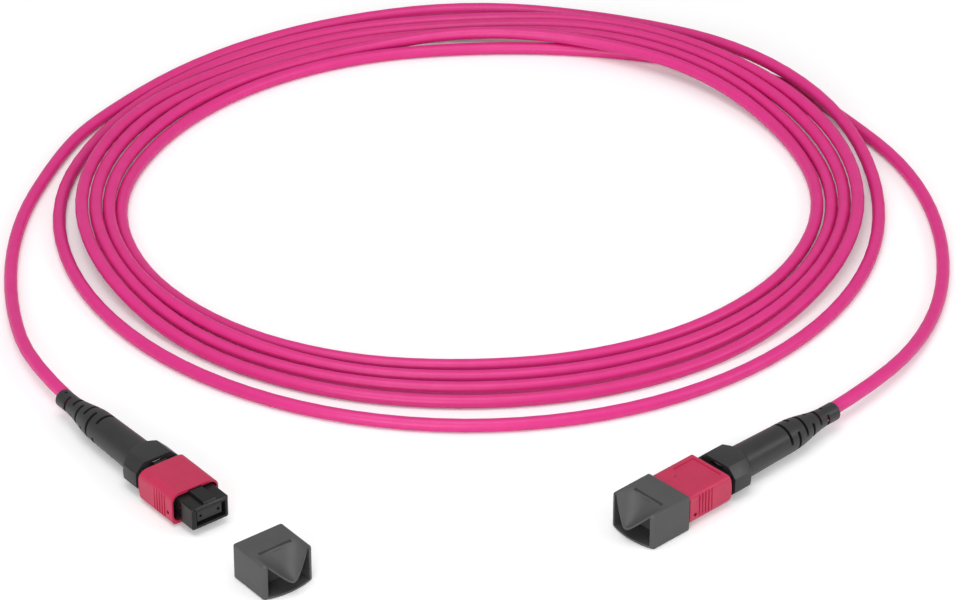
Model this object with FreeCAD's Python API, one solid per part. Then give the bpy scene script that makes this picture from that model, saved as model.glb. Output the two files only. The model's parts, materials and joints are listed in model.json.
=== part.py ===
"""Twelve-fibre push-pull connector patch cord: two female plugs, their dust caps and the coiled cable.

Frame, in millimetres: the origin is the centre of the near plug's ferrule end face, +X leaves that
face towards the mating plug and +Z is the key side. Both plugs lie flat, with their axes at z = 0,
on a table whose surface is at z = -cap_height / 2.
A plug is modelled once, about its own ferrule face, and then laid in its place.
"""
import FreeCAD, Part
import math
import os

# Ferrule
ferrule_width = 6.4
ferrule_height = 2.5
ferrule_length = 8.0
shoulder_width = 7.0
shoulder_height = 3.0
shoulder_length = 2.0
guide_hole_diameter = 0.7
guide_hole_spacing = 4.6
epoxy_window_length = 2.4
epoxy_window_width = 3.0
epoxy_window_setback = 0.8
face_recess = 0.7

# Ribbon and its soft sleeve in the back of the ferrule
ribbon_width = 3.1
ribbon_thickness = 0.32
ribbon_reach = 21.0
ribbon_overlap = 4.8
sleeve_boot_width = 3.6
sleeve_boot_height = 1.7
sleeve_boot_length = 3.8
sleeve_boot_depth = 2.6

# Pin keeper behind the ferrule
keeper_thickness = 2.0
keeper_width = 7.0
keeper_height = 3.4
keeper_seat_depth = 0.7
keeper_seat_diameter = 4.9

# Inner housing
nose_width = 9.5
nose_height = 5.6
nose_edge_radius = 0.5
nose_bevel = 0.45
nose_reach = 6.0
housing_length = 19.4
mouth_width = 7.6
mouth_height = 3.6
mouth_depth = 3.0
chamber_width = 7.5
chamber_height = 4.3
key_width = 3.3
key_height = 0.65
key_setback = 0.3
key_bevel = 0.4
latch_notch_setback = 4.5
latch_notch_length = 3.0
latch_notch_depth = 0.45
latch_notch_height = 3.2

# Coupling sleeve
sleeve_length = 12.8
sleeve_corner_radius = 2.2
sleeve_base_radius = 1.1
sleeve_side_wall = 0.65
sleeve_broad_wall = 0.9
sleeve_mouth_depth = 2.2
sleeve_mouth_step = 0.25
sleeve_tail_bow = 0.7
grip_rib_count = 5
grip_rib_pitch = 0.95
grip_rib_depth = 0.22
grip_rib_width = 0.45
grip_setback = 2.6
panel_length = 8.4
panel_width = 8.6
panel_depth = 0.2
panel_rim = 0.8
panel_arc_radius = 2.2
vent_hole_diameter = 0.9
vent_hole_setback = 1.7
vent_hole_drop = 1.3

# Sleeve return springs, one in a groove on each side of the housing
side_spring_diameter = 1.16
side_spring_wire = 0.22
side_spring_turns = 7
side_spring_steps = 6
side_groove_depth = 0.58
side_groove_height = 1.36
side_groove_setback = 9.0
side_groove_length = 8.2
lug_length = 1.0
lug_height = 1.0

# Main spring
spring_closed_turns = 1
spring_closed_gap = 0.04
main_spring_diameter = 4.16
main_spring_wire = 0.46
main_spring_turns = 6
main_spring_steps = 8

# Spring push
push_block_length = 2.6
push_block_height = 4.1
push_flange_thickness = 0.8
push_flange_width = 9.3
push_flange_height = 5.4
push_barrel_diameter = 5.0
push_barrel_length = 8.8
push_bore_diameter = 3.5
snap_barb_length = 1.1
snap_barb_height = 2.2
snap_setback = 0.8
snap_slit_width = 0.4
snap_leg_thickness = 0.6

# Crimp sleeve
crimp_wall = 0.3
crimp_setback = 0.4
crimp_wide_length = 9.2
crimp_narrow_length = 5.6
crimp_flare_length = 0.7

# Strain relief boot
collar_width = 11.6
collar_height = 7.9
collar_length = 3.8
collar_corner = 2.2
shoulder_taper_length = 3.0
boot_root_diameter = 7.85
boot_waist_diameter = 7.3
boot_neck_diameter = 4.3
boot_neck_length = 3.5
boot_flare_length = 11.8
boot_flare_steps = 4
boot_length = 37.4
boot_bore_clearance = 0.2
boot_tip_rounding = 0.3
flex_slot_count = 6
flex_slot_first = 20.3
flex_slot_pitch = 2.65
flex_slot_width = 0.7
flex_slot_floor_share = 0.6
flex_slot_turn = -45.0
boot_side_count = 16
boot_bore_side_count = 12
peep_hole_diameter = 0.8
peep_hole_setback = 1.6

# Dust cap
cap_width = 12.8
cap_height = 8.8
cap_length = 11.0
cap_edge_radius = 0.6
cap_socket_depth = 6.2
cap_web = 0.8
cap_side_wall = 1.0
cap_floor = 0.8
cap_crown = 1.2
cap_ledge_width = 8.4
cap_ledge_step = 0.45
cap_ledge_run = 2.4
cap_scoop_depth = 5.6
cap_scoop_curve = 1.5
cap_valley_rounding = 0.16
cap_tongue_thickness = 0.6
loose_cap_travel = 22.8

# Cable, and the coil that it lies in
cable_diameter = 3.1
cable_side_count = 8
coil_centre = (-72.3, 127.4)
coil_outer_radius = 100.0
coil_inner_long_radius = 82.6
coil_inner_short_radius = 71.6
coil_tilt = 52.0
coil_height = 9.6
coil_shoulder = 2.4
coil_side_count = 56

# Clearances
ferrule_clearance = 0.15
slide_clearance = 0.15
key_clearance = 0.1
spring_clearance = 0.08
side_spring_clearance = 0.06
pin_clearance = 0.2
cap_clearance = 0.1
cap_seat_gap = 0.2
crimp_clearance = 0.05
overcut = 1.0

# Where the far plug lies: its ferrule face, the way that it points, and the key side down
far_face = (58.2, 75.5)
far_heading = -85.0
far_roll = 180.0

# Routes of the two leads from inside each boot to the coil
near_route = [(-33.0, 0.0, 0.0), (-68.5, 0.0, 0.0), (-102.0, 14.4, -2.85), (-128.5, 36.5, -2.85),
              (-147.0, 63.0, -2.85), (-154.5, 80.5, -2.85)]
far_route = [(55.32, 108.37, 0.0), (52.23, 143.74, 0.0), (38.0, 177.5, -2.85), (14.0, 203.5, -2.85),
             (-17.0, 221.0, -2.85), (-50.5, 225.5, -2.85), (-68.0, 224.1, -2.85)]

# Stations along a plug, from its ferrule face towards the cable
nose_front = face_recess
sleeve_front = nose_front - nose_reach
sleeve_rear = sleeve_front - sleeve_length
housing_rear = nose_front - housing_length
ferrule_rear = -ferrule_length
keeper_rear = ferrule_rear - keeper_thickness
spring_front = keeper_rear + keeper_seat_depth
push_front = housing_rear + push_block_length
flange_rear = housing_rear - push_flange_thickness
boot_front = flange_rear
boot_tip = boot_front - boot_length
crimp_front = boot_front - crimp_setback
crimp_step = crimp_front - crimp_wide_length
crimp_rear = crimp_step - crimp_flare_length - crimp_narrow_length
groove_floor = nose_width / 2 - side_groove_depth
sleeve_inside = groove_floor + side_spring_diameter + 2 * side_spring_clearance
cavity_width = 2 * sleeve_inside
cavity_height = nose_height + 2 * slide_clearance
sleeve_width = cavity_width + 2 * sleeve_side_wall
sleeve_height = cavity_height + 2 * sleeve_broad_wall
groove_front = nose_front - side_groove_setback
groove_rear = groove_front - side_groove_length
lug_front = groove_front - spring_clearance
table = -cap_height / 2


def block(x0, x1, y0, y1, z0, z1):
    """A box between two corners."""
    return Part.makeBox(x1 - x0, y1 - y0, z1 - z0, FreeCAD.Vector(x0, y0, z0))


def centred_block(x0, x1, width, height):
    """A box about the X axis."""
    return block(x0, x1, -width / 2, width / 2, -height / 2, height / 2)


def rounded_wire(x, width, height, radius, base_radius):
    """A rectangle in the plane at x, its upper and lower corners rounded by their own radii."""
    edges = []
    for sign_y, sign_z in ((1, 1), (-1, 1), (-1, -1), (1, -1)):
        corner = radius if sign_z > 0 else base_radius
        centre = FreeCAD.Vector(x, sign_y * (width / 2 - corner), sign_z * (height / 2 - corner))
        side = centre + FreeCAD.Vector(0, sign_y * corner, 0)
        top = centre + FreeCAD.Vector(0, 0, sign_z * corner)
        diagonal = corner / math.sqrt(2)
        middle = centre + FreeCAD.Vector(0, sign_y * diagonal, sign_z * diagonal)
        ends = (side, top) if sign_y * sign_z > 0 else (top, side)
        if edges:
            edges.append(Part.LineSegment(edges[-1].Vertexes[-1].Point, ends[0]).toShape())
        edges.append(Part.Arc(ends[0], middle, ends[1]).toShape())
    edges.append(Part.LineSegment(edges[-1].Vertexes[-1].Point, edges[0].Vertexes[0].Point).toShape())
    return Part.Wire(edges)


def rounded_bar(x0, x1, width, height, radius, base_radius=None):
    """A bar about the X axis with its long edges rounded."""
    section = Part.Face(rounded_wire(x0, width, height, radius, base_radius or radius))
    return section.extrude(FreeCAD.Vector(x1 - x0, 0, 0))


def beam(profile, width):
    """A solid of one (x, z) outline, extruded across the X axis to a width."""
    corners = [FreeCAD.Vector(x, -width / 2, z) for x, z in profile]
    return Part.Face(Part.makePolygon(corners + corners[:1])).extrude(FreeCAD.Vector(0, width, 0))


def rod(x0, x1, diameter, y=0.0, z=0.0):
    """A cylinder along X."""
    return Part.makeCylinder(diameter / 2, x1 - x0, FreeCAD.Vector(x0, y, z), FreeCAD.Vector(1, 0, 0))


def faceted(profile, sides):
    """A solid about X with flat sides through (x, radius) points, one corner-to-corner flat at the bottom."""
    rings = []
    for x, r in profile:
        ring = []
        for i in range(sides + 1):
            angle = 2 * math.pi * (i % sides + 0.5) / sides
            ring.append(FreeCAD.Vector(x, r * math.sin(angle), r * math.cos(angle)))
        rings.append(ring)
    faces = [Part.Face(Part.makePolygon(rings[0])), Part.Face(Part.makePolygon(rings[-1]))]
    for first, second in zip(rings, rings[1:]):
        for i in range(sides):
            corners = [first[i], first[i + 1], second[i + 1], second[i], first[i]]
            faces.append(Part.Face(Part.makePolygon(corners)))
    solid = Part.Solid(Part.Shell(faces))
    if solid.Volume < 0:
        solid.reverse()
    return solid


def facet_loft(sections):
    """A solid through closed point lists of equal length, skinned with flat triangles."""
    faces = [Part.Face(Part.makePolygon(ring + ring[:1])) for ring in (sections[0], sections[-1])]
    for first, second in zip(sections, sections[1:]):
        for i in range(len(first)):
            j = (i + 1) % len(first)
            faces.append(Part.Face(Part.makePolygon([first[i], first[j], second[j], first[i]])))
            faces.append(Part.Face(Part.makePolygon([first[i], second[j], second[i], first[i]])))
    solid = Part.Solid(Part.Shell(faces))
    if solid.Volume < 0:
        solid.reverse()
    return solid


def coil_spring(x0, x1, diameter, wire, turns, steps, y=0.0):
    """A compression spring along X with closed ends, its wire laid in flats round each turn."""
    mean = (diameter - wire) / 2
    half = wire / 2
    count = turns * steps
    closed = steps * spring_closed_turns
    closed_rise = (wire + spring_closed_gap) / steps
    open_rise = (x1 - x0 - wire - 2 * closed * closed_rise) / (count - 2 * closed)
    sections = []
    x = x0 + half
    for i in range(count + 1):
        angle = 2 * math.pi * i / steps
        ring = []
        for across, along in ((half, 0), (0, half), (-half, 0), (0, -half)):
            r = mean + across
            ring.append(FreeCAD.Vector(x + along, y + r * math.cos(angle), r * math.sin(angle)))
        sections.append(ring)
        x += open_rise if closed <= i < count - closed else closed_rise
    return facet_loft(sections)


def ferrule():
    """Moulded ferrule: front block, shoulder, two guide-pin holes and the epoxy window."""
    front = centred_block(ferrule_rear, 0, ferrule_width, ferrule_height)
    shoulder = centred_block(ferrule_rear, ferrule_rear + shoulder_length, shoulder_width,
                             shoulder_height)
    body = front.fuse(shoulder)
    for side in (-1, 1):
        hole = rod(ferrule_rear - overcut, overcut, guide_hole_diameter, side * guide_hole_spacing / 2)
        body = body.cut(hole)
    socket = centred_block(ferrule_rear - overcut, ferrule_rear + sleeve_boot_depth,
                           sleeve_boot_width, sleeve_boot_height)
    slot = centred_block(ferrule_rear, ferrule_rear + ribbon_overlap, ribbon_width, ribbon_thickness)
    window_rear = ferrule_rear + shoulder_length + epoxy_window_setback
    window = block(window_rear, window_rear + epoxy_window_length, -epoxy_window_width / 2,
                   epoxy_window_width / 2, ribbon_thickness / 2, shoulder_height)
    return body.cut(socket).cut(slot).cut(window).removeSplitter()


def ferrule_sleeve():
    """Soft rubber sleeve that guides the ribbon into the back of the ferrule."""
    front = ferrule_rear + sleeve_boot_depth
    body = centred_block(front - sleeve_boot_length, front, sleeve_boot_width, sleeve_boot_height)
    return body.cut(centred_block(front - 2 * sleeve_boot_length, front + overcut, ribbon_width,
                                  ribbon_thickness))


def pin_keeper():
    """Plate behind the ferrule that carries the spring and leaves a way for the ribbon."""
    plate = centred_block(keeper_rear, ferrule_rear, keeper_width, keeper_height)
    way = centred_block(keeper_rear - overcut, ferrule_rear + overcut, sleeve_boot_width,
                        sleeve_boot_height)
    seat = rod(keeper_rear - overcut, keeper_rear + keeper_seat_depth, keeper_seat_diameter)
    for side in (-1, 1):
        socket = rod(keeper_rear + keeper_seat_depth, ferrule_rear + overcut,
                     guide_hole_diameter + 2 * pin_clearance, side * guide_hole_spacing / 2)
        plate = plate.cut(socket)
    return plate.cut(way).cut(seat)


def fibre_ribbon():
    """The twelve fibres, as one flat ribbon from the ferrule to the crimp."""
    front = ferrule_rear + ribbon_overlap
    return centred_block(front - ribbon_reach, front, ribbon_width, ribbon_thickness)


def nose_bar(x0, x1, width, height):
    """A round-edged bar with a bevel round its front end."""
    bevel_start = x1 - nose_bevel
    outer = rounded_wire(bevel_start, width, height, nose_edge_radius, nose_edge_radius)
    front = rounded_wire(x1, width - 2 * nose_bevel, height - 2 * nose_bevel, nose_edge_radius,
                         nose_edge_radius)
    return rounded_bar(x0, bevel_start, width, height, nose_edge_radius).fuse(
        Part.makeLoft([outer, front], True, True))


def inner_housing():
    """Fixed housing: nose, key, latch notches, spring grooves and windows for the spring push."""
    body = nose_bar(housing_rear, nose_front, nose_width, nose_height)
    key_front = nose_front - key_setback
    key_top = nose_height / 2 + key_height
    body = body.fuse(beam([(housing_rear, 0), (key_front - nose_bevel, 0), (key_front, key_top - key_bevel),
                           (key_front - key_bevel, key_top), (housing_rear, key_top)], key_width))
    throat_width = ferrule_width + 2 * ferrule_clearance
    throat_height = ferrule_height + 2 * ferrule_clearance
    mouth = centred_block(nose_front - mouth_depth, nose_front + overcut, mouth_width, mouth_height)
    throat = centred_block(housing_rear, nose_front, throat_width, throat_height)
    chamber = centred_block(housing_rear - overcut, ferrule_rear + shoulder_length, chamber_width,
                            chamber_height)
    body = body.cut(mouth).cut(throat).cut(chamber)
    notch_front = nose_front - latch_notch_setback
    window_front = push_front - snap_setback + slide_clearance
    for side in (-1, 1):
        notch_y = sorted((side * (nose_width / 2 - latch_notch_depth), side * nose_width))
        body = body.cut(block(notch_front - latch_notch_length, notch_front, notch_y[0], notch_y[1],
                              -latch_notch_height / 2, latch_notch_height / 2))
        groove_y = sorted((side * groove_floor, side * nose_width))
        body = body.cut(block(groove_rear, groove_front, groove_y[0], groove_y[1],
                              -side_groove_height / 2, side_groove_height / 2))
        window_y = sorted((side * ferrule_width / 2, side * nose_width))
        body = body.cut(block(window_front - snap_barb_length - 2 * slide_clearance, window_front,
                              window_y[0], window_y[1], -snap_barb_height / 2 - slide_clearance,
                              snap_barb_height / 2 + slide_clearance))
    return body.removeSplitter()


def bowed_bar(x0, x1):
    """The sleeve's outside, its rear edge bowed back between the broad faces."""
    body = rounded_bar(x0, x1, sleeve_width, sleeve_height, sleeve_corner_radius, sleeve_base_radius)
    radius = (sleeve_height ** 2 / 4 + sleeve_tail_bow ** 2) / (2 * sleeve_tail_bow)
    bow = Part.makeCylinder(radius, 2 * sleeve_width, FreeCAD.Vector(x0 + radius, -sleeve_width, 0),
                            FreeCAD.Vector(0, 1, 0))
    return body.common(bow)


def coupling_sleeve(vent_z):
    """Push-pull sleeve: grip ribs, key channel, thumb panel, vent holes and the two spring lugs."""
    body = bowed_bar(sleeve_rear, sleeve_front)
    corner = sleeve_corner_radius - sleeve_side_wall
    cavity = rounded_bar(sleeve_rear - overcut, sleeve_front + overcut, cavity_width, cavity_height,
                         corner / 2)
    step = 2 * sleeve_mouth_step
    mouth = rounded_bar(sleeve_front - sleeve_mouth_depth, sleeve_front + overcut,
                        cavity_width + step, cavity_height + step, corner)
    channel_width = key_width + 2 * key_clearance
    channel = block(sleeve_rear - overcut, sleeve_front + overcut, -channel_width / 2,
                    channel_width / 2, 0, nose_height / 2 + key_height + key_clearance)
    body = body.cut(cavity).cut(mouth).cut(channel)
    panel_rear = sleeve_rear + sleeve_tail_bow + panel_rim
    panel = block(panel_rear, panel_rear + panel_length, -panel_width / 2, panel_width / 2,
                  -sleeve_height, -sleeve_height / 2 + panel_depth)
    corner_cut = Part.makeCylinder(panel_arc_radius, sleeve_height, FreeCAD.Vector(
        panel_rear + panel_length, panel_width / 2, -sleeve_height - overcut))
    body = body.cut(panel.cut(corner_cut))
    for i in range(grip_rib_count):
        rib_front = sleeve_front - grip_setback - i * grip_rib_pitch
        for side in (-1, 1):
            face = sleeve_width / 2 - grip_rib_depth
            across = sorted((side * face, side * sleeve_width))
            body = body.cut(block(rib_front - grip_rib_width, rib_front, across[0], across[1],
                                  -sleeve_height / 2, sleeve_height / 2))
    vent_x = sleeve_front - vent_hole_setback
    body = body.cut(Part.makeCylinder(vent_hole_diameter / 2, 2 * sleeve_width, FreeCAD.Vector(
        vent_x, -sleeve_width, vent_z), FreeCAD.Vector(0, 1, 0)))
    for side in (-1, 1):
        reach = sorted((side * (groove_floor + spring_clearance), side * (sleeve_inside + overcut / 4)))
        body = body.fuse(block(lug_front - lug_length, lug_front, reach[0], reach[1], -lug_height / 2,
                               lug_height / 2))
    return body.removeSplitter()


def side_spring(side):
    """Return spring of the sleeve, between a lug and the rear end of its groove."""
    middle = side * (groove_floor + sleeve_inside) / 2
    return coil_spring(groove_rear, lug_front - lug_length, side_spring_diameter, side_spring_wire,
                       side_spring_turns, side_spring_steps, middle)


def main_spring():
    """Spring that pushes the ferrule forward, between the keeper and the spring push."""
    return coil_spring(push_front, spring_front, main_spring_diameter, main_spring_wire,
                       main_spring_turns, main_spring_steps)


def spring_push():
    """Spring push: block with two snap legs, flange and the barrel that the crimp grips."""
    block_width = chamber_width - 2 * key_clearance
    body = centred_block(housing_rear, push_front, block_width, push_block_height)
    body = body.fuse(centred_block(flange_rear, housing_rear, push_flange_width, push_flange_height))
    body = body.fuse(rod(flange_rear - push_barrel_length, flange_rear, push_barrel_diameter))
    for side in (-1, 1):
        barb_rear = push_front - snap_setback - snap_barb_length
        root = side * (block_width / 2 - snap_leg_thickness / 2)
        tip = side * (nose_width / 2 - slide_clearance)
        outline = [(barb_rear, root), (barb_rear, tip), (push_front - snap_setback, root)]
        corners = [FreeCAD.Vector(x, y, -snap_barb_height / 2) for x, y in outline]
        barb = Part.Face(Part.makePolygon(corners + corners[:1]))
        body = body.fuse(barb.extrude(FreeCAD.Vector(0, 0, snap_barb_height)))
        leg_inside = block_width / 2 - snap_leg_thickness
        slit = sorted((side * (leg_inside - snap_slit_width), side * leg_inside))
        body = body.cut(block(housing_rear, push_front + overcut, slit[0], slit[1],
                              -push_block_height, push_block_height))
    bore = rod(flange_rear - push_barrel_length - overcut, push_front + overcut, push_bore_diameter)
    return body.cut(bore).removeSplitter()


def crimp_sleeve():
    """Hexagonal crimped tube: wide over the barrel, narrow round the cable jacket."""
    across = 1 / math.cos(math.pi / 6)
    wide = (push_barrel_diameter / 2 + crimp_clearance) * across
    narrow = (cable_diameter / 2 + crimp_clearance) * across
    wall = crimp_wall * across
    flare_end = crimp_step - crimp_flare_length
    outside = faceted([(crimp_front, wide + wall), (crimp_step, wide + wall),
                       (flare_end, narrow + wall), (crimp_rear, narrow + wall)], 6)
    inside = faceted([(crimp_front + overcut, wide), (crimp_step, wide), (flare_end, narrow),
                      (crimp_rear - overcut, narrow)], 6)
    return outside.cut(inside)


def collar():
    """The boot's eight-sided collar and the prism that its shoulder is cut from."""
    y = collar_width / 2
    z = collar_height / 2
    points = [(y, z - collar_corner), (y - collar_corner, z), (collar_corner - y, z),
              (-y, z - collar_corner), (-y, collar_corner - z), (collar_corner - y, -z),
              (y - collar_corner, -z), (y, collar_corner - z)]
    corners = [FreeCAD.Vector(boot_front, py, pz) for py, pz in points]
    return Part.Face(Part.makePolygon(corners + corners[:1])).extrude(
        FreeCAD.Vector(-collar_length - shoulder_taper_length, 0, 0))


def boot_radius(x):
    """The boot's outer radius from its tip to the end of the flare."""
    f = min(max((x - boot_tip - boot_neck_length) / boot_flare_length, 0), 1)
    return (boot_neck_diameter + (boot_waist_diameter - boot_neck_diameter) * f * f * (3 - 2 * f)) / 2


def strain_boot():
    """Strain relief boot: square-shouldered collar, round flaring tail and its flex slots."""
    collar_rear = boot_front - collar_length
    root = collar_rear - shoulder_taper_length
    reach = math.hypot(collar_width, collar_height) / 2
    body = collar().common(faceted([(boot_front + overcut, reach), (collar_rear, reach),
                                    (root, boot_root_diameter / 2)], boot_side_count))
    profile = [(root, boot_root_diameter / 2)]
    for i in range(boot_flare_steps + 1):
        x = boot_tip + boot_neck_length + boot_flare_length * (1 - i / boot_flare_steps)
        profile.append((x, boot_radius(x)))
    profile.append((boot_tip + boot_tip_rounding, boot_neck_diameter / 2))
    profile.append((boot_tip, boot_neck_diameter / 2 - boot_tip_rounding))
    body = body.fuse(faceted(profile, boot_side_count))
    corner = 1 / math.cos(math.pi / 6)
    flat = 1 / math.cos(math.pi / boot_bore_side_count)
    crimp_room = ((push_barrel_diameter / 2 + crimp_clearance + crimp_wall) * corner + crimp_clearance) * flat
    neck_room = ((cable_diameter / 2 + crimp_clearance + crimp_wall) * corner + crimp_clearance) * flat
    neck_step = crimp_step - crimp_flare_length
    bore_step = crimp_rear - crimp_setback
    bore = (cable_diameter / 2 + boot_bore_clearance) * flat
    body = body.cut(faceted([(boot_front + overcut, crimp_room), (neck_step, crimp_room),
                             (neck_step, neck_room), (bore_step, neck_room), (bore_step, bore),
                             (boot_tip - overcut, bore)], boot_bore_side_count))
    for i in range(flex_slot_count):
        x = boot_front - flex_slot_first - i * flex_slot_pitch
        floor = flex_slot_floor_share * boot_radius(x)
        turn = flex_slot_turn + 90 * (i % 2)
        for angle in (turn, turn + 180):
            slot = block(x - flex_slot_width / 2, x + flex_slot_width / 2, -collar_width, collar_width,
                         floor, collar_height)
            slot.rotate(FreeCAD.Vector(0, 0, 0), FreeCAD.Vector(1, 0, 0), angle)
            body = body.cut(slot)
    peep = Part.makeCylinder(peep_hole_diameter / 2, collar_height, FreeCAD.Vector(
        boot_tip + peep_hole_setback, 0, 0))
    return body.cut(peep).removeSplitter()


def scoop(rear, front, lower):
    """The space above the cap's tongue: level at the ledge, falling to a round-bottomed V at the front."""
    half = cap_width / 2 - cap_side_wall
    sections = []
    spans = 5
    steps = 6
    rounding = cap_valley_rounding
    for i in range(spans + 1):
        f = i / spans
        depth = cap_scoop_depth * (1 - (1 - f) ** cap_scoop_curve)
        ring = []
        for j in range(2 * steps + 1):
            across = j / steps - 1
            flank = (math.hypot(across, rounding) - rounding) / (math.hypot(1, rounding) - rounding)
            z = cap_height / 2 - depth * (1 - flank) - lower
            ring.append(FreeCAD.Vector(rear + f * (front - rear), half * across, z))
        ring.append(FreeCAD.Vector(ring[-1].x, half, cap_height))
        ring.append(FreeCAD.Vector(ring[-1].x, -half, cap_height))
        sections.append(ring)
    return facet_loft(sections)


def dust_cap(rear):
    """Dust cap: socket for the nose either way up, ledge, V-shaped tongue and the hollow below it."""
    front = rear + cap_length + cap_crown
    top = cap_height / 2
    socket_end = rear + cap_socket_depth
    radius = (cap_width ** 2 / 4 + cap_crown ** 2) / (2 * cap_crown)
    crown = Part.makeCylinder(radius, 2 * cap_height, FreeCAD.Vector(front - radius, 0, -cap_height))
    body = rounded_bar(rear, front, cap_width, cap_height, cap_edge_radius)
    body = body.cut(block(rear + cap_length, front, -cap_width, cap_width, -top, top).cut(crown))
    body = body.cut(centred_block(rear - overcut, socket_end, nose_width + 2 * cap_clearance,
                                  nose_height + 2 * cap_clearance))
    body = body.cut(centred_block(rear - overcut, socket_end, key_width + 2 * cap_clearance,
                                  nose_height + 2 * key_height + 2 * cap_clearance))
    inner_half = cap_width / 2 - cap_side_wall
    pocket = block(socket_end + cap_web, front + overcut, -inner_half, inner_half, cap_floor - top,
                   top - cap_ledge_step - cap_tongue_thickness)
    pocket = pocket.cut(scoop(socket_end, front + overcut, cap_tongue_thickness))
    ledge = beam([(socket_end, top + overcut), (socket_end, top - cap_ledge_step),
                  (socket_end + cap_ledge_run, top), (socket_end + cap_ledge_run, top + overcut)],
                 cap_ledge_width)
    return body.cut(scoop(socket_end, front + overcut, 0)).cut(ledge).cut(pocket).removeSplitter()


def tube(route, name):
    """A cable run: straight stretches joined by arcs as large as the route leaves room for."""
    points = [FreeCAD.Vector(*p) for p in route]
    edges = []
    radii = []
    start = points[0]
    for before, corner, after in zip(points, points[1:], points[2:]):
        incoming = (corner - before).normalize()
        outgoing = (after - corner).normalize()
        half_turn = incoming.getAngle(outgoing) / 2
        setback = 0.45 * min((corner - before).Length, (after - corner).Length)
        radius = setback / math.tan(half_turn)
        first = corner - incoming * setback
        last = corner + outgoing * setback
        inward = (outgoing - incoming).normalize()
        middle = corner + inward * (radius / math.cos(half_turn) - radius)
        edges.append(Part.LineSegment(start, first).toShape())
        edges.append(Part.Arc(first, middle, last).toShape())
        radii.append(round(radius, 1))
        start = last
    edges.append(Part.LineSegment(start, points[-1]).toShape())
    length = sum(edge.Length for edge in edges)
    ahead = (points[1] - points[0]).normalize()
    aside = ahead.cross(FreeCAD.Vector(0, 0, 1)).normalize()
    radius = cable_diameter / 2
    corners = []
    for i in range(cable_side_count + 1):
        angle = 2 * math.pi * (i % cable_side_count + 0.5) / cable_side_count
        corners.append(points[0] + (aside * math.sin(angle) + ahead.cross(aside) * math.cos(angle)) * radius)
    section = Part.Face(Part.makePolygon(corners))
    solid = Part.Wire(edges).makePipe(section)
    ratio = solid.Volume / (section.Area * length)
    print(name, "length", round(length, 1), "radii", radii, "volume ratio", round(ratio, 4))
    return solid


def ring_wire(long_radius, short_radius, z):
    """A many-sided ellipse about the coil's centre."""
    tilt = math.radians(coil_tilt)
    corners = []
    for i in range(coil_side_count + 1):
        angle = 2 * math.pi * (i % coil_side_count) / coil_side_count
        along = long_radius * math.cos(angle)
        across = short_radius * math.sin(angle)
        corners.append(FreeCAD.Vector(coil_centre[0] + along * math.cos(tilt) - across * math.sin(tilt),
                                      coil_centre[1] + along * math.sin(tilt) + across * math.cos(tilt), z))
    return Part.makePolygon(corners)


def cord_coil():
    """The lying coil of cable, as one ring of its outer shape."""
    top = table + coil_height
    outer = coil_outer_radius
    side_height = coil_height - coil_shoulder
    wall = Part.Face(ring_wire(outer, outer, table)).extrude(FreeCAD.Vector(0, 0, side_height))
    shoulder = Part.makeLoft([ring_wire(outer, outer, table + side_height),
                              ring_wire(outer - coil_shoulder, outer - coil_shoulder, top)], True, True)
    hole = Part.Face(ring_wire(coil_inner_long_radius, coil_inner_short_radius, table - overcut))
    hole = hole.extrude(FreeCAD.Vector(0, 0, coil_height + 2 * overcut))
    return wall.fuse(shoulder).cut(hole).removeSplitter()


def plug(vent_z):
    """Every fixed and sliding piece of one plug, about its own ferrule face."""
    return {
        "inner_housing": inner_housing(),
        "coupling_sleeve": coupling_sleeve(vent_z),
        "ferrule": ferrule(),
        "ferrule_boot": ferrule_sleeve(),
        "pin_keeper": pin_keeper(),
        "main_spring": main_spring(),
        "sleeve_spring_left": side_spring(1),
        "sleeve_spring_right": side_spring(-1),
        "spring_push": spring_push(),
        "crimp_sleeve": crimp_sleeve(),
        "strain_boot": strain_boot(),
        "fibre_ribbon": fibre_ribbon(),
    }


def at_far_end(shape, roll):
    """A copy of a near piece, rolled about its axis and laid where the far plug lies."""
    placed = shape.copy()
    placed.rotate(FreeCAD.Vector(0, 0, 0), FreeCAD.Vector(1, 0, 0), roll)
    placed.rotate(FreeCAD.Vector(0, 0, 0), FreeCAD.Vector(0, 0, 1), far_heading)
    placed.translate(FreeCAD.Vector(far_face[0], far_face[1], 0))
    return placed


cap_seat = sleeve_front + cap_seat_gap
nodes = plug(-vent_hole_drop)
for name, shape in plug(vent_hole_drop).items():
    nodes["far_" + name] = at_far_end(shape, far_roll)
seated_cap = dust_cap(cap_seat)
nodes["dust_cap"] = seated_cap.copy()
nodes["dust_cap"].translate(FreeCAD.Vector(loose_cap_travel, 0, 0))
nodes["far_dust_cap"] = at_far_end(seated_cap, 0)
nodes["cord_lead_near"] = tube(near_route, "near lead")
nodes["cord_coil"] = cord_coil()
nodes["cord_lead_far"] = tube(far_route, "far lead")

os.makedirs("parts", exist_ok=True)
for name, shape in nodes.items():
    shape.exportStep("parts/" + name + ".step")
    print(name, "valid" if shape.isValid() else "INVALID", round(shape.Volume, 2), len(shape.Solids))
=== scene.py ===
"""Looks of a twelve-fibre push-pull patch cord: two plugs, their dust caps and the coiled cable."""
import bmesh
import bpy
import json
import math
from mathutils import Matrix, Vector


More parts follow.
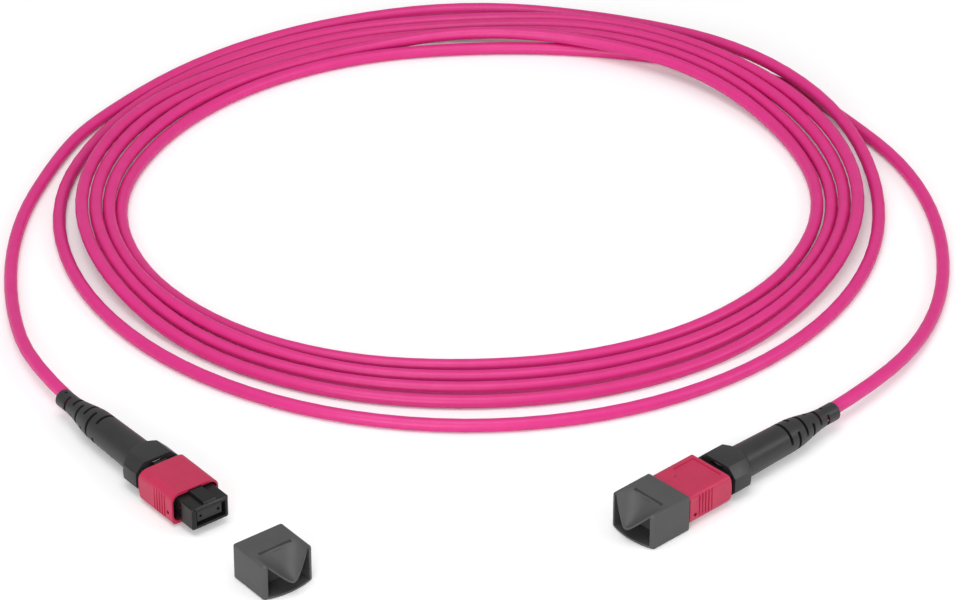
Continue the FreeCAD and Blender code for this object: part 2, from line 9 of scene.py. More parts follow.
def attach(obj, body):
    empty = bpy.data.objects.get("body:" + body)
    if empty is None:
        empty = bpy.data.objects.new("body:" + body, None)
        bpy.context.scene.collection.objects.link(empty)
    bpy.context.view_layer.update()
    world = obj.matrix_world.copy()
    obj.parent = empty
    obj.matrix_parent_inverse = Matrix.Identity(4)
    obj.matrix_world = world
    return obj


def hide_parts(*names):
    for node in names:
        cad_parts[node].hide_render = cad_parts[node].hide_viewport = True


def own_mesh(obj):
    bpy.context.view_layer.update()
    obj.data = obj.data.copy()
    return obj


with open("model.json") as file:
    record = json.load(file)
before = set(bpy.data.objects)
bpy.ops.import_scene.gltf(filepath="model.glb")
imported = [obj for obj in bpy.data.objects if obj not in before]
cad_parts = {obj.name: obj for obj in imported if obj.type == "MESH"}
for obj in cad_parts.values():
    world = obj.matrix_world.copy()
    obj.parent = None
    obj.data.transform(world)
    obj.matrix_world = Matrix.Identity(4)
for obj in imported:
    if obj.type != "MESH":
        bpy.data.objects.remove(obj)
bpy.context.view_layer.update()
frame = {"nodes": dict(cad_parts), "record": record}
for name in ("Cube", "Light", "Camera"):
    if name in bpy.data.objects:
        bpy.data.objects.remove(bpy.data.objects[name])

MM = 0.001
BODY_OF = {node: body for body, nodes in frame["record"]["behaviour"]["bodies"].items() for node in nodes}
SLOT_OF = {part["node"]: part["material_slot"] for part in frame["record"]["subparts"]}

# Sizes of the CAD frame, in mm
CABLE_DIAMETER = 3.1
TABLE_Z = -4.4
CAP_REAR = -5.1
LOOSE_CAP_REAR = 17.7
BOOT_FRONT = -19.5
BOOT_TIP = -56.9
FAR_END = Matrix.Translation((58.2, 75.5, 0)) @ Matrix.Rotation(math.radians(-85), 4, "Z")
FAR_PLUG = FAR_END @ Matrix.Rotation(math.pi, 4, "X")
COIL_CENTRE = (-72.3, 127.4)

# ---------------------------------------------------------------- node tools


def principled(name):
    """A new material, its node tree and its Principled shader."""
    material = bpy.data.materials.new(name)
    material.use_nodes = True
    tree = material.node_tree
    return material, tree, tree.nodes["Principled BSDF"]


def add(tree, kind, values=None, **settings):
    """A node with its settings and socket values."""
    node = tree.nodes.new(kind)
    for key, value in settings.items():
        setattr(node, key, value)
    for key, value in (values or {}).items():
        node.inputs[key].default_value = value
    return node


def group_tree(name, inputs, outputs):
    """An empty shader node group with named sockets."""
    tree = bpy.data.node_groups.new(name, "ShaderNodeTree")
    for label, kind, value in inputs:
        socket = tree.interface.new_socket(label, in_out="INPUT", socket_type=kind)
        socket.default_value = value
    for label, kind in outputs:
        tree.interface.new_socket(label, in_out="OUTPUT", socket_type=kind)
    return tree, tree.nodes.new("NodeGroupInput"), tree.nodes.new("NodeGroupOutput")


def moulded_group():
    """Fine moulding grain, soft mottling and handling haze, in object space."""
    tree, given, out = group_tree("moulded_surface", [
        ("Colour", "NodeSocketColor", (0.5, 0.5, 0.5, 1)),
        ("Worn Colour", "NodeSocketColor", (0.5, 0.5, 0.5, 1)),
        ("Roughness", "NodeSocketFloat", 0.5),
        ("Grain Scale", "NodeSocketFloat", 3000.0),
        ("Grain Depth", "NodeSocketFloat", 0.2),
        ("Mottle", "NodeSocketFloat", 0.15)],
        [("Colour", "NodeSocketColor"), ("Roughness", "NodeSocketFloat"), ("Normal", "NodeSocketVector")])
    link = tree.links.new
    place = add(tree, "ShaderNodeTexCoord")
    grain = add(tree, "ShaderNodeTexNoise", {"Detail": 4.0, "Roughness": 0.6})
    link(place.outputs["Object"], grain.inputs["Vector"])
    link(given.outputs["Grain Scale"], grain.inputs["Scale"])
    clouds = add(tree, "ShaderNodeTexNoise", {"Scale": 260.0, "Detail": 3.0, "Roughness": 0.55})
    link(place.outputs["Object"], clouds.inputs["Vector"])
    spread = add(tree, "ShaderNodeMapRange", {"From Min": 0.35, "From Max": 0.65})
    link(clouds.outputs["Fac"], spread.inputs["Value"])
    amount = add(tree, "ShaderNodeMath", operation="MULTIPLY")
    link(spread.outputs["Result"], amount.inputs[0])
    link(given.outputs["Mottle"], amount.inputs[1])
    mix = add(tree, "ShaderNodeMix", data_type="RGBA")
    link(amount.outputs[0], mix.inputs["Factor"])
    link(given.outputs["Colour"], mix.inputs["A"])
    link(given.outputs["Worn Colour"], mix.inputs["B"])
    link(mix.outputs["Result"], out.inputs["Colour"])
    haze = add(tree, "ShaderNodeMapRange", {"To Min": -0.07, "To Max": 0.07})
    link(clouds.outputs["Fac"], haze.inputs["Value"])
    rough = add(tree, "ShaderNodeMath", operation="ADD", use_clamp=True)
    link(haze.outputs["Result"], rough.inputs[0])
    link(given.outputs["Roughness"], rough.inputs[1])
    link(rough.outputs[0], out.inputs["Roughness"])
    bump = add(tree, "ShaderNodeBump", {"Distance": 0.00003})
    link(given.outputs["Grain Depth"], bump.inputs["Strength"])
    link(grain.outputs["Fac"], bump.inputs["Height"])
    link(bump.outputs["Normal"], out.inputs["Normal"])
    return tree


MOULDED = moulded_group()


def moulded(name, colour, worn, roughness, grain_scale=3000.0, grain_depth=0.2, mottle=0.15, **sockets):
    """A moulded plastic, rubber or drawn metal."""
    material, tree, shader = principled(name)
    surface = tree.nodes.new("ShaderNodeGroup")
    surface.node_tree = MOULDED
    for key, value in {"Colour": (*colour, 1), "Worn Colour": (*worn, 1), "Roughness": roughness,
                       "Grain Scale": grain_scale, "Grain Depth": grain_depth, "Mottle": mottle}.items():
        surface.inputs[key].default_value = value
    tree.links.new(surface.outputs["Colour"], shader.inputs["Base Color"])
    tree.links.new(surface.outputs["Roughness"], shader.inputs["Roughness"])
    tree.links.new(surface.outputs["Normal"], shader.inputs["Normal"])
    for key, value in sockets.items():
        shader.inputs[key.replace("_", " ")].default_value = value
    return material


FINISHES = {
    "cable_magenta": moulded("cable_jacket", (0.68, 0.02, 0.22), (0.62, 0.014, 0.185), 0.44,
                             2200.0, 0.08, 0.5),
    "sleeve_crimson": moulded("sleeve_plastic", (0.5, 0.017, 0.075), (0.44, 0.012, 0.062), 0.4, mottle=0.5),
    "housing_black": moulded("housing_plastic", (0.009, 0.009, 0.0095), (0.013, 0.013, 0.014), 0.24,
                             Specular_IOR_Level=0.3),
    "boot_black": moulded("boot_rubber", (0.018, 0.018, 0.0193), (0.025, 0.025, 0.027), 0.38,
                          2600.0, 0.3, 0.5),
    "cap_grey": moulded("cap_plastic", (0.06, 0.059, 0.06), (0.073, 0.072, 0.073), 0.52, 2400.0, 0.35, 0.5),
    "ferrule_resin": moulded("ferrule_resin", (0.009, 0.009, 0.009), (0.013, 0.013, 0.013), 0.34),
    "ferrule_rubber": moulded("grey_rubber", (0.5, 0.5, 0.48), (0.45, 0.45, 0.43), 0.6),
    "keeper_metal": moulded("keeper_steel", (0.5, 0.5, 0.51), (0.42, 0.42, 0.43), 0.35, Metallic=1.0),
    "spring_steel": moulded("spring_wire", (0.6, 0.6, 0.62), (0.5, 0.5, 0.52), 0.25, Metallic=1.0),
    "crimp_metal": moulded("crimp_tube", (0.7, 0.7, 0.71), (0.6, 0.6, 0.61), 0.35, Metallic=1.0),
    "ribbon_film": moulded("ribbon_film", (0.55, 0.58, 0.6), (0.5, 0.54, 0.58), 0.25, Alpha=0.3)}
for node_name, node in frame["nodes"].items():
    node.data.materials.clear()
    node.data.materials.append(FINISHES[SLOT_OF[node_name]])

# ---------------------------------------------------------------- mesh tools


def piece_from(name, mesh, materials, place=None, sharp=35):
    """An object from a bmesh in mm, laid by a matrix in mm, with its blunt edges shaded smooth."""
    if place:
        mesh.transform(place)
    mesh.transform(Matrix.Scale(MM, 4))
    bmesh.ops.recalc_face_normals(mesh, faces=mesh.faces)
    data = bpy.data.meshes.new(name)
    mesh.to_mesh(data)
    mesh.free()
    data.shade_smooth()
    data.set_sharp_from_angle(angle=math.radians(sharp))
    for material in materials:
        data.materials.append(material)
    piece = bpy.data.objects.new(name, data)
    bpy.context.scene.collection.objects.link(piece)
    return piece


def stand_in(piece, node_name):
    """The piece takes a CAD node's place, on the node's body."""
    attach(piece, BODY_OF[node_name])
    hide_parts(node_name)


def prism(outline, axis, low, high):
    """A bmesh solid: an outline in the two other axes, drawn along one axis."""
    mesh = bmesh.new()
    rings = []
    for level in (low, high):
        ring = []
        for a, b in outline:
            spot = [a, b]
            spot.insert(axis, level)
            ring.append(mesh.verts.new(spot))
        rings.append(ring)
        mesh.faces.new(ring)
    for i in range(len(outline)):
        j = (i + 1) % len(outline)
        mesh.faces.new((rings[0][i], rings[0][j], rings[1][j], rings[1][i]))
    bmesh.ops.recalc_face_normals(mesh, faces=mesh.faces)
    return mesh


def box(x0, x1, y0, y1, z0, z1):
    """A bmesh box."""
    return prism([(x0, y0), (x1, y0), (x1, y1), (x0, y1)], 2, z0, z1)


def lathe(profile, sides):
    """A bmesh solid of revolution about X through (x, radius) points, closed at both ends."""
    mesh = bmesh.new()
    rings = []
    turns = [2 * math.pi * i / sides for i in range(sides)]
    for x, r in profile:
        rings.append([mesh.verts.new((x, r * math.sin(a), r * math.cos(a))) for a in turns])
    mesh.faces.new(rings[0])
    mesh.faces.new(rings[-1])
    for first, second in zip(rings, rings[1:]):
        for i in range(sides):
            j = (i + 1) % sides
            mesh.faces.new((first[i], first[j], second[j], second[i]))
    bmesh.ops.recalc_face_normals(mesh, faces=mesh.faces)
    return mesh


def eased(mesh, width, least=35, segments=2):
    """The bmesh with its outward edges rounded; its tightest spot limits the width of them all."""
    edges = [e for e in mesh.edges if e.is_manifold and e.calc_face_angle_signed(0) > math.radians(least)]
    bmesh.ops.bevel(mesh, geom=edges, offset=width, offset_type="OFFSET", segments=segments, profile=0.5,
                    affect="EDGES", clamp_overlap=True)
    return mesh


def merged(meshes):
    """One bmesh that holds several."""
    joined = bmesh.new()
    for mesh in meshes:
        data = bpy.data.meshes.new("part")
        mesh.to_mesh(data)
        mesh.free()
        joined.from_mesh(data)
        bpy.data.meshes.remove(data)
    return joined


def carved(base, operation, tool):
    """The base after an exact boolean with the tool; both are used up."""
    holders = []
    for label, mesh in (("base", base), ("tool", tool)):
        data = bpy.data.meshes.new(label)
        mesh.to_mesh(data)
        mesh.free()
        holder = bpy.data.objects.new(label, data)
        bpy.context.scene.collection.objects.link(holder)
        holders.append(holder)
    cut = holders[0].modifiers.new("cut", "BOOLEAN")
    cut.operation = operation
    cut.solver = "EXACT"
    cut.object = holders[1]
    shape = holders[0].evaluated_get(bpy.context.evaluated_depsgraph_get())
    result = bmesh.new()
    result.from_mesh(shape.to_mesh())
    shape.to_mesh_clear()
    for holder in holders:
        data = holder.data
        bpy.data.objects.remove(holder)
        bpy.data.meshes.remove(data)
    bmesh.ops.remove_doubles(result, verts=result.verts, dist=0.0005)
    return result


def refined(node_name, width):
    """A welded and smooth-shaded copy of a CAD node, in its place, rounded as far as eased can."""
    node = frame["nodes"][node_name]
    mesh = bmesh.new()
    mesh.from_mesh(node.data)
    mesh.transform(Matrix.Scale(1 / MM, 4) @ node.matrix_world)
    bmesh.ops.remove_doubles(mesh, verts=mesh.verts, dist=0.002)
    bmesh.ops.dissolve_limit(mesh, angle_limit=math.radians(1), verts=mesh.verts, edges=mesh.edges)
    eased(mesh, width)
    skin = piece_from(node_name + "_skin", mesh, [FINISHES[SLOT_OF[node_name]]])
    flats = skin.modifiers.new("flat_faces", "WEIGHTED_NORMAL")
    flats.keep_sharp = True
    stand_in(skin, node_name)


# ---------------------------------------------------------------- the plugs

# The widest rounding of each piece's outward edges, in mm
EDGE_ROUNDING = {"coupling_sleeve": 0.12, "inner_housing": 0.1, "ferrule": 0.06, "ferrule_boot": 0.15,
                 "pin_keeper": 0.08, "spring_push": 0.1, "crimp_sleeve": 0.08}
for end in ("", "far_"):
    for piece_name, rounding_width in EDGE_ROUNDING.items():
        refined(end + piece_name, rounding_width)

# The boot's collar and the shoulder behind it, in mm
COLLAR_WIDTH = 11.6
COLLAR_HEIGHT = 7.9
COLLAR_CORNER = 2.2
COLLAR_LENGTH = 3.8
COLLAR_DRAFT = 0.1
COLLAR_ROUNDING = 0.35
SHOULDER_LENGTH = 3.0
SHOULDER_RADIUS = 3.92

# The boot's tail: how far ahead of the tip each radius of its round lip is, then its neck, flare and waist
TIP_ROUND = [(0, 1.85), (0.08, 2.03), (0.28, 2.15)]
NECK_RADIUS = 2.15
NECK_LENGTH = 3.5
FLARE_LENGTH = 11.8
FLARE_RISE = 1.5
WAIST_START = NECK_LENGTH + FLARE_LENGTH
WAIST_LENGTH = 15.3
WAIST_RISE = 0.27
TAIL_STEP = 0.9
TAIL_STEPS = 33
BOOT_SIDES = 48

# The boot's bore, by radius and by where the two wider parts end
CABLE_BORE = 1.75
MIDDLE_BORE = 2.3
MIDDLE_BORE_REAR = -35.8
FRONT_BORE = 3.4
FRONT_BORE_REAR = -29.8
BORE_SIDES = 36

# The boot's flex slots and peep hole
SLOT_COUNT = 6
SLOT_FIRST = 20.3
SLOT_PITCH = 2.65
SLOT_WIDTH = 0.75
SLOT_TURN = -22.5
SLOT_FLOOR_SHARE = 0.45
SLOTS = [(BOOT_FRONT - SLOT_FIRST - SLOT_PITCH * i, SLOT_TURN + 90 * (i % 2)) for i in range(SLOT_COUNT)]
PEEP_HOLE_RADIUS = 0.4
PEEP_HOLE_SETBACK = 1.6
PEEP_HOLE_SIDES = 20
OUTSIDE_BOOT = 7


def boot_radius(x):
    """The boot's outer radius, from the slim neck at the tip through the flare to the collar."""
    flare = min(max((x - BOOT_TIP - NECK_LENGTH) / FLARE_LENGTH, 0), 1)
    waist = min(max((x - BOOT_TIP - WAIST_START) / WAIST_LENGTH, 0), 1)
    return NECK_RADIUS + FLARE_RISE * flare * flare * (3 - 2 * flare) + WAIST_RISE * waist


def boot_collar(collar_rear):
    """The boot's rounded eight-sided collar, with the shoulder that leads to the tail."""
    root = collar_rear - SHOULDER_LENGTH
    y = COLLAR_WIDTH / 2
    z = COLLAR_HEIGHT / 2
    corner = COLLAR_CORNER
    section = [(y, z - corner), (y - corner, z), (corner - y, z), (-y, z - corner),
               (-y, corner - z), (corner - y, -z), (y - corner, -z), (y, corner - z)]
    reach = math.hypot(y, z)
    cone = [(BOOT_FRONT + 1, reach + COLLAR_DRAFT), (collar_rear, reach), (root - 0.01, SHOULDER_RADIUS)]
    collar = carved(prism(section, 0, root, BOOT_FRONT), "INTERSECT", lathe(cone, BOOT_SIDES))
    bmesh.ops.dissolve_limit(collar, angle_limit=math.radians(1), verts=collar.verts, edges=collar.edges)
    return eased(collar, COLLAR_ROUNDING, 25, 3)


def slot_cuts():
    """One bmesh of the pairs of cuts that make the flex slots."""
    cuts = []
    for x, turn in SLOTS:
        slot_floor = SLOT_FLOOR_SHARE * boot_radius(x)
        for side in (0, 180):
            cut = box(x - SLOT_WIDTH / 2, x + SLOT_WIDTH / 2,
                      -OUTSIDE_BOOT, OUTSIDE_BOOT, slot_floor, OUTSIDE_BOOT)
            cut.transform(Matrix.Rotation(math.radians(turn + side), 4, "X"))
            cuts.append(cut)
    return merged(cuts)


def boot(node_name, place):
    """Smooth strain relief: collar, flaring tail, stepped bore, flex slots and peep hole."""
    collar_rear = BOOT_FRONT - COLLAR_LENGTH
    profile = [(BOOT_TIP + ahead, radius) for ahead, radius in TIP_ROUND]
    for i in range(TAIL_STEPS):
        x = BOOT_TIP + TAIL_STEP + TAIL_STEP * i
        profile.append((x, boot_radius(x)))
    profile.append((collar_rear, boot_radius(collar_rear)))
    body = carved(boot_collar(collar_rear), "UNION", lathe(profile, BOOT_SIDES))
    bore = [(BOOT_TIP - 1, CABLE_BORE), (MIDDLE_BORE_REAR, CABLE_BORE), (MIDDLE_BORE_REAR, MIDDLE_BORE),
            (FRONT_BORE_REAR, MIDDLE_BORE), (FRONT_BORE_REAR, FRONT_BORE), (BOOT_FRONT + 1, FRONT_BORE)]
    body = carved(body, "DIFFERENCE", lathe(bore, BORE_SIDES))
    body = carved(body, "DIFFERENCE", slot_cuts())
    peep = lathe([(0, PEEP_HOLE_RADIUS), (OUTSIDE_BOOT, PEEP_HOLE_RADIUS)], PEEP_HOLE_SIDES)
    upright = Matrix.Rotation(-math.pi / 2, 4, "Y")
    peep.transform(Matrix.Translation((BOOT_TIP + PEEP_HOLE_SETBACK, 0, 0)) @ upright)
    body = carved(body, "DIFFERENCE", peep)
    stand_in(piece_from(node_name + "_skin", body, [FINISHES["boot_black"]], place, 30), node_name)


boot("strain_boot", None)
boot("far_strain_boot", FAR_PLUG)

# ---------------------------------------------------------------- the dust caps

# The cap's shell and the open front in it, in mm from its middle or along from its rear
CAP_WIDTH = 12.8
CAP_HEIGHT = 8.8
CAP_LENGTH = 11.0
CAP_CROWN = 1.2
CROWN_STEPS = 12
CAP_ROUNDING = 0.6
MOUTH_HALF_WIDTH = 5.4
MOUTH_FLOOR = -3.6
WEB_THICKNESS = 0.8
WEB_TOP = 3.7
AHEAD_OF_CAP = 14
ABOVE_CAP = 6

# The ledge, the socket for the nose and the slots for its key
LEDGE_HALF_WIDTH = 4.2
LEDGE_LOW = 3.95
LEDGE_HIGH = 4.4
LEDGE_RUN = 2.4
LEDGE_CLEAR = 5.0
SOCKET_DEPTH = 6.2
SOCKET_HALF_WIDTH = 4.85
SOCKET_HALF_HEIGHT = 2.9
KEYWAY_HALF_WIDTH = 1.75
KEYWAY_HALF_HEIGHT = 3.55

# The tongue: its top edge, how far it falls and stands out, how thick it is and how much it thins in front
TONGUE_TOP = 4.39
TONGUE_REACH = 0.3
TONGUE_DROP = 4.9
TONGUE_CURVE = 1.5
TONGUE_PROW = 2.5
TONGUE_ROUNDING = 0.24
TONGUE_THICKNESS = 0.8
TONGUE_THINNING = 0.25
TONGUE_SPANS = 16
TONGUE_STEPS = 18


def tongue(rear, corner_front):
    """The cap's tongue: it falls from the ledge to a round-bottomed V whose tip stands out in front."""
    mesh = bmesh.new()
    half = MOUTH_HALF_WIDTH
    rounding = TONGUE_ROUNDING
    across = [j / TONGUE_STEPS for j in range(-TONGUE_STEPS, TONGUE_STEPS + 1)]
    full = math.hypot(1, rounding) - rounding
    stations = [(half * a, (math.hypot(a, rounding) - rounding) / full) for a in across]
    stations = [(-half - TONGUE_REACH, 1)] + stations + [(half + TONGUE_REACH, 1)]
    rings = []
    for i in range(TONGUE_SPANS + 1):
        f = i / TONGUE_SPANS
        fall = 1 - (1 - f) ** TONGUE_CURVE
        upper = []
        lower = []
        for y, flank in stations:
            x = rear + f * (corner_front - rear + TONGUE_PROW * (1 - flank))
            z = TONGUE_TOP - TONGUE_DROP * fall * (1 - flank)
            upper.append(mesh.verts.new((x, y, z)))
            lower.append(mesh.verts.new((x, y, z - TONGUE_THICKNESS + TONGUE_THINNING * f)))
        rings.append(upper + lower[::-1])
    mesh.faces.new(rings[0])
    mesh.faces.new(rings[-1])
    for first, second in zip(rings, rings[1:]):
        for i in range(len(first)):
            j = (i + 1) % len(first)
            mesh.faces.new((first[i], first[j], second[j], second[i]))
    bmesh.ops.triangulate(mesh, faces=mesh.faces)
    bmesh.ops.recalc_face_normals(mesh, faces=mesh.faces)
    return mesh


def cap_shell(rear):
    """The cap's block, with rounded edges and a front that bows forward."""
    half = CAP_WIDTH / 2
    radius = (half ** 2 + CAP_CROWN ** 2) / (2 * CAP_CROWN)
    middle = rear + CAP_LENGTH + CAP_CROWN - radius
    spread = math.asin(half / radius)
    turns = [spread * (1 - i / CROWN_STEPS) for i in range(2 * CROWN_STEPS + 1)]
    front_edge = [(middle + radius * math.cos(a), -radius * math.sin(a)) for a in turns]
    outline = [(rear, half), (rear, -half)] + front_edge
    return eased(prism(outline, 2, -CAP_HEIGHT / 2, CAP_HEIGHT / 2), CAP_ROUNDING, 40, 4)


def cap(node_name, rear, place):
    """Dust cap: its shell with an open front, ledge, prow-shaped tongue and socket."""
    socket_end = rear + SOCKET_DEPTH
    half = MOUTH_HALF_WIDTH
    mouth = box(socket_end + WEB_THICKNESS, rear + AHEAD_OF_CAP, -half, half, MOUTH_FLOOR, ABOVE_CAP)
    shell = carved(cap_shell(rear), "DIFFERENCE", mouth)
    shell = carved(shell, "DIFFERENCE", box(socket_end, socket_end + 1, -half, half, WEB_TOP, ABOVE_CAP))
    shell = carved(shell, "UNION", tongue(socket_end - 0.05, rear + CAP_LENGTH - 0.1))
    ledge_end = socket_end + LEDGE_RUN
    wedge = prism([(socket_end, LEDGE_CLEAR), (socket_end, LEDGE_LOW), (ledge_end, LEDGE_HIGH),
                   (ledge_end, LEDGE_CLEAR)], 1, -LEDGE_HALF_WIDTH, LEDGE_HALF_WIDTH)
    shell = carved(shell, "DIFFERENCE", wedge)
    for y, z in ((SOCKET_HALF_WIDTH, SOCKET_HALF_HEIGHT), (KEYWAY_HALF_WIDTH, KEYWAY_HALF_HEIGHT)):
        shell = carved(shell, "DIFFERENCE", box(rear - 1, socket_end, -y, y, -z, z))
    stand_in(piece_from(node_name + "_skin", shell, [FINISHES["cap_grey"]], place, 30), node_name)


cap("dust_cap", LOOSE_CAP_REAR, None)
cap("far_dust_cap", CAP_REAR, FAR_END)

# ---------------------------------------------------------------- springs, ribbon and fibre ends


def swept(name, runs, radius, sides, materials, place):
    """Round wires along point runs in mm, each run with its own material in turn."""
    mesh = bmesh.new()
    for number, run in enumerate(runs):
        rings = []
        points = [Vector(p) for p in run]
        up = Vector((0, 0, 1))
        for i, point in enumerate(points):
            ahead = (points[min(i + 1, len(points) - 1)] - points[max(i - 1, 0)]).normalized()
            up = (up - ahead * up.dot(ahead)).normalized()
            aside = ahead.cross(up)
            rings.append([mesh.verts.new(point + radius * (math.cos(a) * up + math.sin(a) * aside))
                          for a in (2 * math.pi * k / sides for k in range(sides))])
        faces = [mesh.faces.new(rings[0]), mesh.faces.new(rings[-1])]
        for first, second in zip(rings, rings[1:]):
            for k in range(sides):
                j = (k + 1) % sides
                faces.append(mesh.faces.new((first[k], first[j], second[j], second[k])))
        for face in faces:
            face.material_index = number % len(materials)
    return piece_from(name, mesh, materials, place)


# Springs: rear end, front end, outside diameter and wire in mm, and turns
MAIN_SPRING = (-16.1, -9.3, 4.16, 0.46, 6)
SIDE_SPRING = (-16.5, -9.38, 1.16, 0.22, 7)
SIDE_SPRING_ASIDE = 4.81
FERRULE_TRAVEL = 1.0
SLEEVE_TRAVEL = 1.2
STEPS_PER_TURN = 28
CLOSED_GAP = 0.04


def spring(node_name, x0, x1, diameter, wire, turns, y, place, joint, travel, axis):
    """A round-wire spring with one closed turn at each end."""
    count = turns * STEPS_PER_TURN
    closed = STEPS_PER_TURN
    closed_rise = (wire + CLOSED_GAP) / STEPS_PER_TURN
    open_rise = (x1 - x0 - wire - 2 * closed * closed_rise) / (count - 2 * closed)
    x = x0 + wire / 2
    run = []
    coil = (diameter - wire) / 2
    for i in range(count + 1):
        angle = 2 * math.pi * i / STEPS_PER_TURN
        run.append((x, y + coil * math.cos(angle), coil * math.sin(angle)))
        x += closed_rise if i < closed or i >= count - closed else open_rise
    piece = swept(node_name + "_wire", [run], wire / 2, 10, [FINISHES["spring_steel"]], place)
    stand_in(piece, node_name)
    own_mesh(piece)


FIBRE_TINTS = {"blue": (0.02, 0.1, 0.5), "orange": (0.8, 0.2, 0.02), "green": (0.03, 0.35, 0.08),
               "brown": (0.16, 0.06, 0.03), "slate": (0.25, 0.27, 0.28), "white": (0.8, 0.8, 0.78),
               "red": (0.6, 0.02, 0.02), "black": (0.015, 0.015, 0.015), "yellow": (0.8, 0.6, 0.03),
               "violet": (0.2, 0.05, 0.4), "rose": (0.8, 0.3, 0.4), "aqua": (0.1, 0.6, 0.6)}
FIBRES = [moulded("fibre_" + name, tint, tint, 0.3) for name, tint in FIBRE_TINTS.items()]
glass, _, glass_shader = principled("fibre_glass")
glass_shader.inputs["Base Color"].default_value = (0.06, 0.065, 0.07, 1)
glass_shader.inputs["Roughness"].default_value = 0.25

# Fibres, in mm: their places across, the coated and bare radii, and the ends of the ribbon and of the tips
FIBRE_PITCH = 0.25
PITCHES = [FIBRE_PITCH * (i - (len(FIBRES) - 1) / 2) for i in range(len(FIBRES))]
COATED_RADIUS = 0.123
BARE_RADIUS = 0.0625
RIBBON_REAR = -24.2
RIBBON_FRONT = -3.2
TIP_REAR = -0.3
TIP_FRONT = 0.006

for end, place in (("", None), ("far_", FAR_PLUG)):
    out = (place or Matrix()).to_3x3() @ Vector((1, 0, 0))
    spring(end + "main_spring", *MAIN_SPRING, 0, place, end + "ferrule_slide", FERRULE_TRAVEL, out)
    for side, y in (("left", SIDE_SPRING_ASIDE), ("right", -SIDE_SPRING_ASIDE)):
        spring(end + "sleeve_spring_" + side, *SIDE_SPRING, y, place,
               end + "sleeve_slide", SLEEVE_TRAVEL, out)
    strands = [[(RIBBON_REAR, y, 0), (RIBBON_FRONT, y, 0)] for y in PITCHES]
    ribbon = swept(end + "fibre_ribbon_strands", strands, COATED_RADIUS, 10, FIBRES, place)
    stand_in(ribbon, end + "fibre_ribbon")
    bare_ends = [[(TIP_REAR, y, 0), (TIP_FRONT, y, 0)] for y in PITCHES]
    tips = swept(end + "fibre_ends", bare_ends, BARE_RADIUS, 16, [glass], place)
    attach(tips, end + "ferrule_set")

# ---------------------------------------------------------------- the cable

# The near lead runs a little wide of its solid and joins the coil as its outermost turn
NEAR_LEAD = [(-33.0, 0.0, 0.0), (-68.5, 0.0, 0.0), (-102.0, 14.4, -2.85), (-129.8, 34.4, -2.85),
             (-150.4, 60.0, -2.85)]
FAR_LEAD = [(55.32, 108.37, 0.0), (52.23, 143.74, 0.0), (38.0, 177.5, -2.85), (14.0, 203.5, -2.85),
            (-17.0, 221.0, -2.85), (-50.5, 225.5, -2.85), (-67.2, 225.3, -2.85)]
# Radii a step before the near lead joins the coil and at its next steps, then of each turn at the back,
# right, front and left, then of the way out
FIRST_PASS = (105.0, 99.0, 96.1, 95.0)
TURNS = [(96.8, 98.2, 97.6, 98.9), (90.0, 93.4, 87.8, 93.5), (86.4, 90.4, 82.2, 90.3),
         (82.5, 87.4, 77.4, 87.2), (78.2, 84.0, 72.6, 84.4)]
LAST_PASS = (74.5, 107.7)
# How early each quarter takes its next radius: from back to right, to front, to left and to back
EARLY = (0.0, 0.5, 0.5, 1.0)
COIL_START = 209.5
STEPS = 16
STEP = 360 / STEPS
WAY_IN = len(FIRST_PASS) - 1
WAY_OUT = 3
POINTS = WAY_IN + len(TURNS) * STEPS + WAY_OUT
ON_TABLE = -2.85
STACKING = CABLE_DIAMETER + 0.15


def coil_radius(place):
    """The coil's radius, in mm, at so many steps from where the near lead joins it."""
    entry = list(FIRST_PASS) + [TURNS[0][0]]
    if place < WAY_IN:
        i = int(place + 1)
        f = place + 1 - i
        return entry[i] * (1 - f) + entry[i + 1] * f
    stations = [r for turn in TURNS for r in turn] + list(LAST_PASS)
    quarter = min((place - WAY_IN) * 4 / STEPS, len(stations) - 1.001)
    i = int(quarter)
    f = quarter - i
    early = EARLY[i % 4]
    f = (1 - early) * f * f * (3 - 2 * f) + early * f * (3 - f * f) / 2
    return stations[i] * (1 - f) + stations[i + 1] * f


def coil_heights():
    """The coil's heights, in mm: each pass lies on the later ones that it crosses."""
    heights = [ON_TABLE] * (POINTS + 2)
    for i in range(POINTS - 1, -1, -1):
        for aside in (-1, -0.75, -0.5, -0.25, 0, 0.25, 0.5, 0.75, 1):
            here = coil_radius(i + aside)
            for j in range(i + STEPS, POINTS + 1, STEPS):
                across = abs(here - coil_radius(j + aside))
                if across < STACKING:
                    beside = heights[j + (1 if aside > 0 else -1)]
                    under = heights[j] + (beside - heights[j]) * abs(aside)
                    heights[i] = max(heights[i], under + math.sqrt(STACKING ** 2 - across ** 2))
    return heights[:POINTS]


def coil_points():
    """Control points of the coil, from the near lead to the far lead, laid on each other."""
    reach = 1 / math.cos(math.radians(STEP / 2))
    points = []
    for i, height in enumerate(coil_heights()):
        angle = math.radians(COIL_START - i * STEP)
        radius = coil_radius(i) * reach
        points.append((COIL_CENTRE[0] + radius * math.cos(angle),
                       COIL_CENTRE[1] + radius * math.sin(angle), height))
    return points


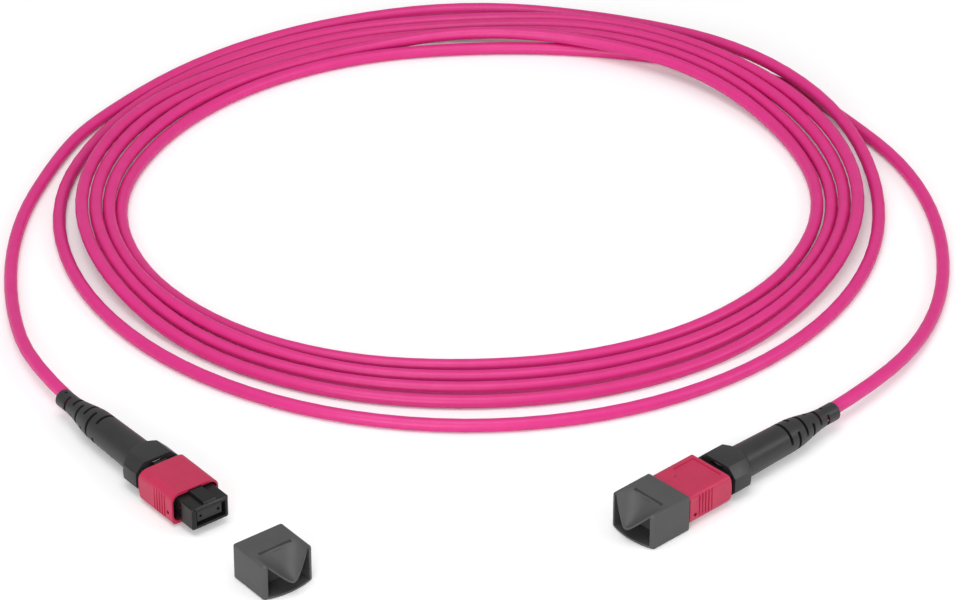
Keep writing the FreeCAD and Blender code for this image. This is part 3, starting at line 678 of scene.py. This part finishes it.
def cable():
    """The whole cable as one smooth spline."""
    curve = bpy.data.curves.new("patch_cable", "CURVE")
    curve.dimensions = "3D"
    curve.bevel_depth = CABLE_DIAMETER / 2 * MM
    curve.bevel_resolution = 6
    curve.resolution_u = 6
    curve.use_fill_caps = True
    points = NEAR_LEAD + coil_points() + FAR_LEAD[::-1]
    spline = curve.splines.new("NURBS")
    spline.points.add(len(points) - 1)
    for point, place in zip(spline.points, points):
        point.co = (place[0] * MM, place[1] * MM, place[2] * MM, 1)
    spline.order_u = 3
    spline.use_endpoint_u = True
    piece = bpy.data.objects.new("patch_cable", curve)
    bpy.context.scene.collection.objects.link(piece)
    curve.materials.append(FINISHES["cable_magenta"])
    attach(piece, "patch_cord")
    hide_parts("cord_lead_near", "cord_coil", "cord_lead_far")


cable()

# ---------------------------------------------------------------- studio

FLOOR_HALF = 2000
FLOOR_DEPTH = 20
floor_slab = box(-FLOOR_HALF, FLOOR_HALF, -FLOOR_HALF, FLOOR_HALF, TABLE_Z - FLOOR_DEPTH, TABLE_Z)
floor = piece_from("floor", floor_slab, [])
floor_white, floor_tree, floor_shader = principled("floor_white")
floor_shader.inputs["Base Color"].default_value = (0.9, 0.9, 0.9, 1)
floor_shader.inputs["Roughness"].default_value = 0.8
floor_shader.inputs["Emission Color"].default_value = (1, 1, 1, 1)
seen_lift = add(floor_tree, "ShaderNodeMath", {1: 0.16}, operation="MULTIPLY")
floor_tree.links.new(add(floor_tree, "ShaderNodeLightPath").outputs["Is Camera Ray"], seen_lift.inputs[0])
floor_tree.links.new(seen_lift.outputs[0], floor_shader.inputs["Emission Strength"])
floor.data.materials.append(floor_white)

world = bpy.data.worlds.new("studio")
bpy.context.scene.world = world
world.use_nodes = True
backdrop = world.node_tree.nodes["Background"]
backdrop.inputs["Color"].default_value = (1, 1, 1, 1)
backdrop.inputs["Strength"].default_value = 0.5


def softbox(name, place, target, size, power):
    """A square area lamp aimed at a point."""
    lamp = bpy.data.lights.new(name, "AREA")
    lamp.shape = "SQUARE"
    lamp.size = size
    lamp.energy = power
    holder = bpy.data.objects.new(name, lamp)
    bpy.context.scene.collection.objects.link(holder)
    holder.location = place
    holder.rotation_euler = (Vector(target) - Vector(place)).to_track_quat("-Z", "Y").to_euler()


softbox("key_light", (0.1, -0.1, 0.9), (-0.05, 0.1, 0), 0.6, 3.5)
softbox("near_fill", (0.6, -0.75, 0.32), (0.0, 0.05, 0), 0.5, 5.0)
softbox("side_light", (0.75, 0.65, 0.6), (0.05, 0.1, 0), 0.4, 2.2)

camera_data = bpy.data.cameras.new("camera")
camera_data.lens = 169.0
camera_data.sensor_width = 36.0
camera_data.clip_start = 0.01
camera = bpy.data.objects.new("camera", camera_data)
bpy.context.scene.collection.objects.link(camera)
camera.location = (0.6595, -0.4421, 0.5517)
camera_target = Vector((-0.03755, 0.10248, -0.0044))
camera.rotation_euler = (camera_target - camera.location).to_track_quat("-Z", "Y").to_euler()
bpy.context.scene.camera = camera
bpy.context.scene.view_settings.view_transform = "Standard"
